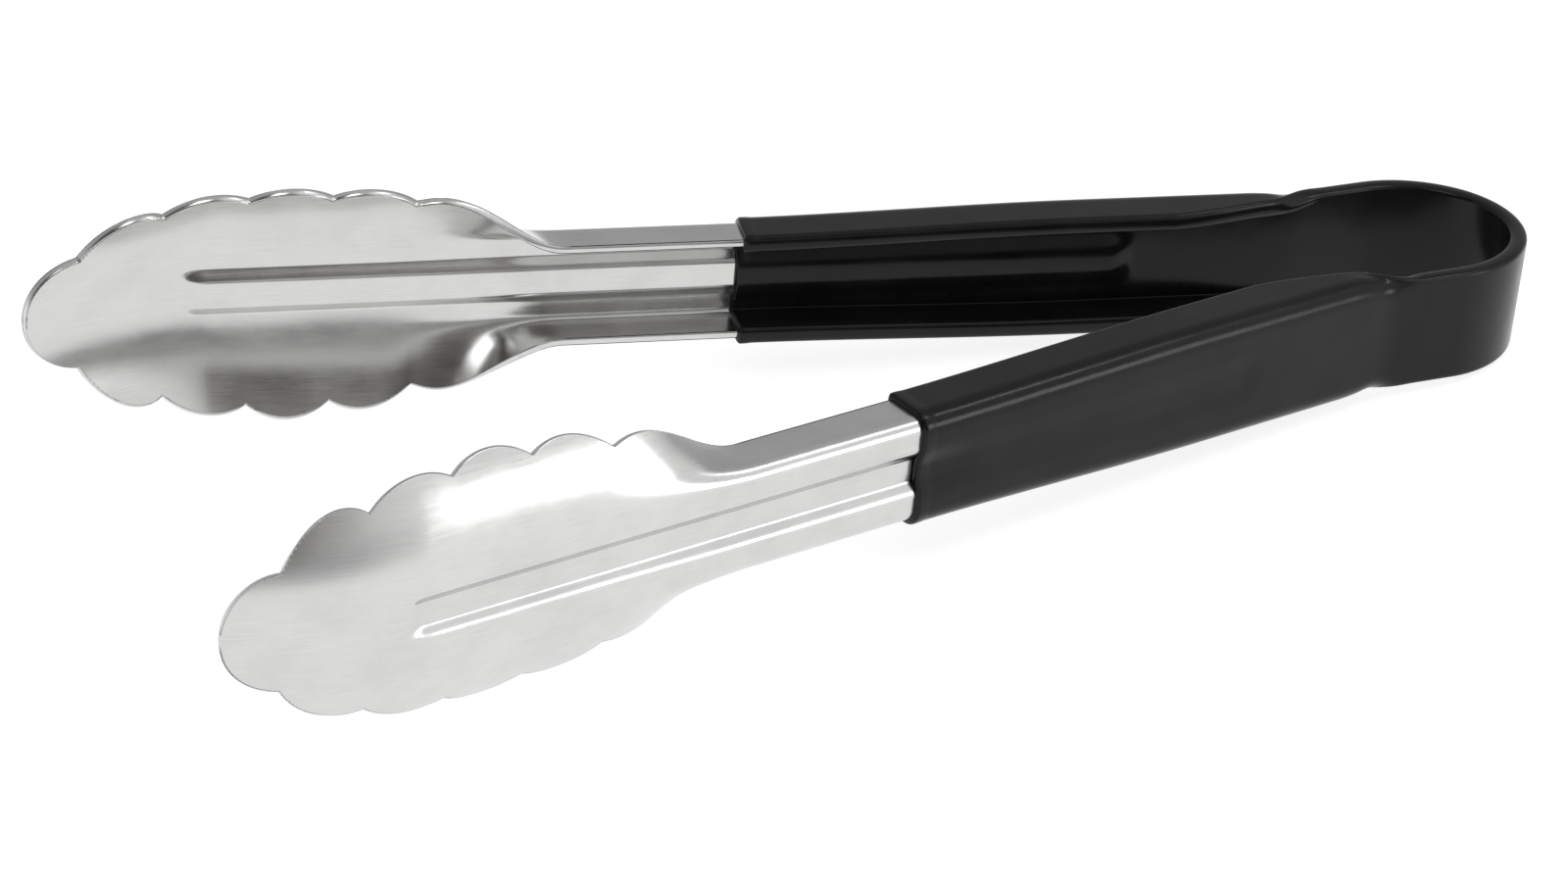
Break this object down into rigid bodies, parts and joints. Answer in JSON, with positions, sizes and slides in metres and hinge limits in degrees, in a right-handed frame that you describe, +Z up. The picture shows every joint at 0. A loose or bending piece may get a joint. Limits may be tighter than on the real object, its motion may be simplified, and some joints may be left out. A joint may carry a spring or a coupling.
{
  "type": "spring loaded kitchen tongs",
  "caption": "One-piece sprung kitchen tongs: a bent steel strip with scalloped scoops, ribbed channel arms and a flexing bow, dipped in black vinyl over the handle half.",
  "frame": {"origin": "centre of the bounding box in X and Y, at the level of the lowest scallop", "axes": "+X from the closed bow to the scoops, +Y towards the front arm, across the opening, +Z up, along the width of the strip, with the tongs standing on edge"},
  "size_m": [0.238, 0.1034, 0.0409],
  "materials": {
    "steel": "bright satin stainless steel",
    "vinyl": "soft glossy dipped vinyl"
  },
  "bodies": {
    "bow_center": {"bow_strip_center": "steel", "bow_sleeve_center": "vinyl"},
    "front_link_1": {"front_bow_strip_1": "steel", "front_bow_sleeve_1": "vinyl"},
    "front_link_2": {"front_bow_strip_2": "steel", "front_bow_sleeve_2": "vinyl"},
    "front_link_3": {"front_bow_strip_3": "steel", "front_bow_sleeve_3": "vinyl"},
    "front_link_4": {"front_bow_strip_4": "steel", "front_bow_sleeve_4": "vinyl"},
    "front_arm_assembly": {"front_arm": "steel", "front_grip": "vinyl"},
    "rear_link_1": {"rear_bow_strip_1": "steel", "rear_bow_sleeve_1": "vinyl"},
    "rear_link_2": {"rear_bow_strip_2": "steel", "rear_bow_sleeve_2": "vinyl"},
    "rear_link_3": {"rear_bow_strip_3": "steel", "rear_bow_sleeve_3": "vinyl"},
    "rear_link_4": {"rear_bow_strip_4": "steel", "rear_bow_sleeve_4": "vinyl"},
    "rear_arm_assembly": {"rear_arm": "steel", "rear_grip": "vinyl"}
  },
  "joints": [
    {"name": "front_flex_1", "type": "hinge", "parent": "bow_center", "child": "front_link_1", "pos_m": [-0.11713, 0.00356, 0.02042], "axis": [0, 0, -1], "range_deg": [0, 2.38]},
    {"name": "front_flex_2", "type": "hinge", "parent": "bow_center", "child": "front_link_2", "pos_m": [-0.11537, 0.00665, 0.02042], "axis": [0, 0, -1], "range_deg": [0, 4.76]},
    {"name": "front_flex_3", "type": "hinge", "parent": "bow_center", "child": "front_link_3", "pos_m": [-0.11281, 0.00902, 0.02042], "axis": [0, 0, -1], "range_deg": [0, 7.14]},
    {"name": "front_flex_4", "type": "hinge", "parent": "bow_center", "child": "front_link_4", "pos_m": [-0.10978, 0.01054, 0.02042], "axis": [0, 0, -1], "range_deg": [0, 9.52]},
    {"name": "front_arm_flex", "type": "hinge", "parent": "bow_center", "child": "front_arm_assembly", "pos_m": [-0.10652, 0.01134, 0.02042], "axis": [0, 0, -1], "range_deg": [0, 11.9], "stiffness_Nm_per_rad": 6},
    {"name": "rear_flex_1", "type": "hinge", "parent": "bow_center", "child": "rear_link_1", "pos_m": [-0.11713, -0.00356, 0.02042], "axis": [0, 0, 1], "range_deg": [0, 2.38]},
    {"name": "rear_flex_2", "type": "hinge", "parent": "bow_center", "child": "rear_link_2", "pos_m": [-0.11537, -0.00665, 0.02042], "axis": [0, 0, 1], "range_deg": [0, 4.76]},
    {"name": "rear_flex_3", "type": "hinge", "parent": "bow_center", "child": "rear_link_3", "pos_m": [-0.11281, -0.00902, 0.02042], "axis": [0, 0, 1], "range_deg": [0, 7.14]},
    {"name": "rear_flex_4", "type": "hinge", "parent": "bow_center", "child": "rear_link_4", "pos_m": [-0.10978, -0.01054, 0.02042], "axis": [0, 0, 1], "range_deg": [0, 9.52]},
    {"name": "rear_arm_flex", "type": "hinge", "parent": "bow_center", "child": "rear_arm_assembly", "pos_m": [-0.10652, -0.01134, 0.02042], "axis": [0, 0, 1], "range_deg": [0, 11.9], "stiffness_Nm_per_rad": 6}
  ],
  "couplings": [
    {"joint": "front_flex_1", "follows": "front_arm_flex", "ratio": 0.2},
    {"joint": "front_flex_2", "follows": "front_arm_flex", "ratio": 0.4},
    {"joint": "front_flex_3", "follows": "front_arm_flex", "ratio": 0.6},
    {"joint": "front_flex_4", "follows": "front_arm_flex", "ratio": 0.8},
    {"joint": "rear_flex_1", "follows": "front_arm_flex", "ratio": 0.2},
    {"joint": "rear_flex_2", "follows": "front_arm_flex", "ratio": 0.4},
    {"joint": "rear_flex_3", "follows": "front_arm_flex", "ratio": 0.6},
    {"joint": "rear_flex_4", "follows": "front_arm_flex", "ratio": 0.8},
    {"joint": "rear_arm_flex", "follows": "front_arm_flex", "ratio": 1}
  ]
}
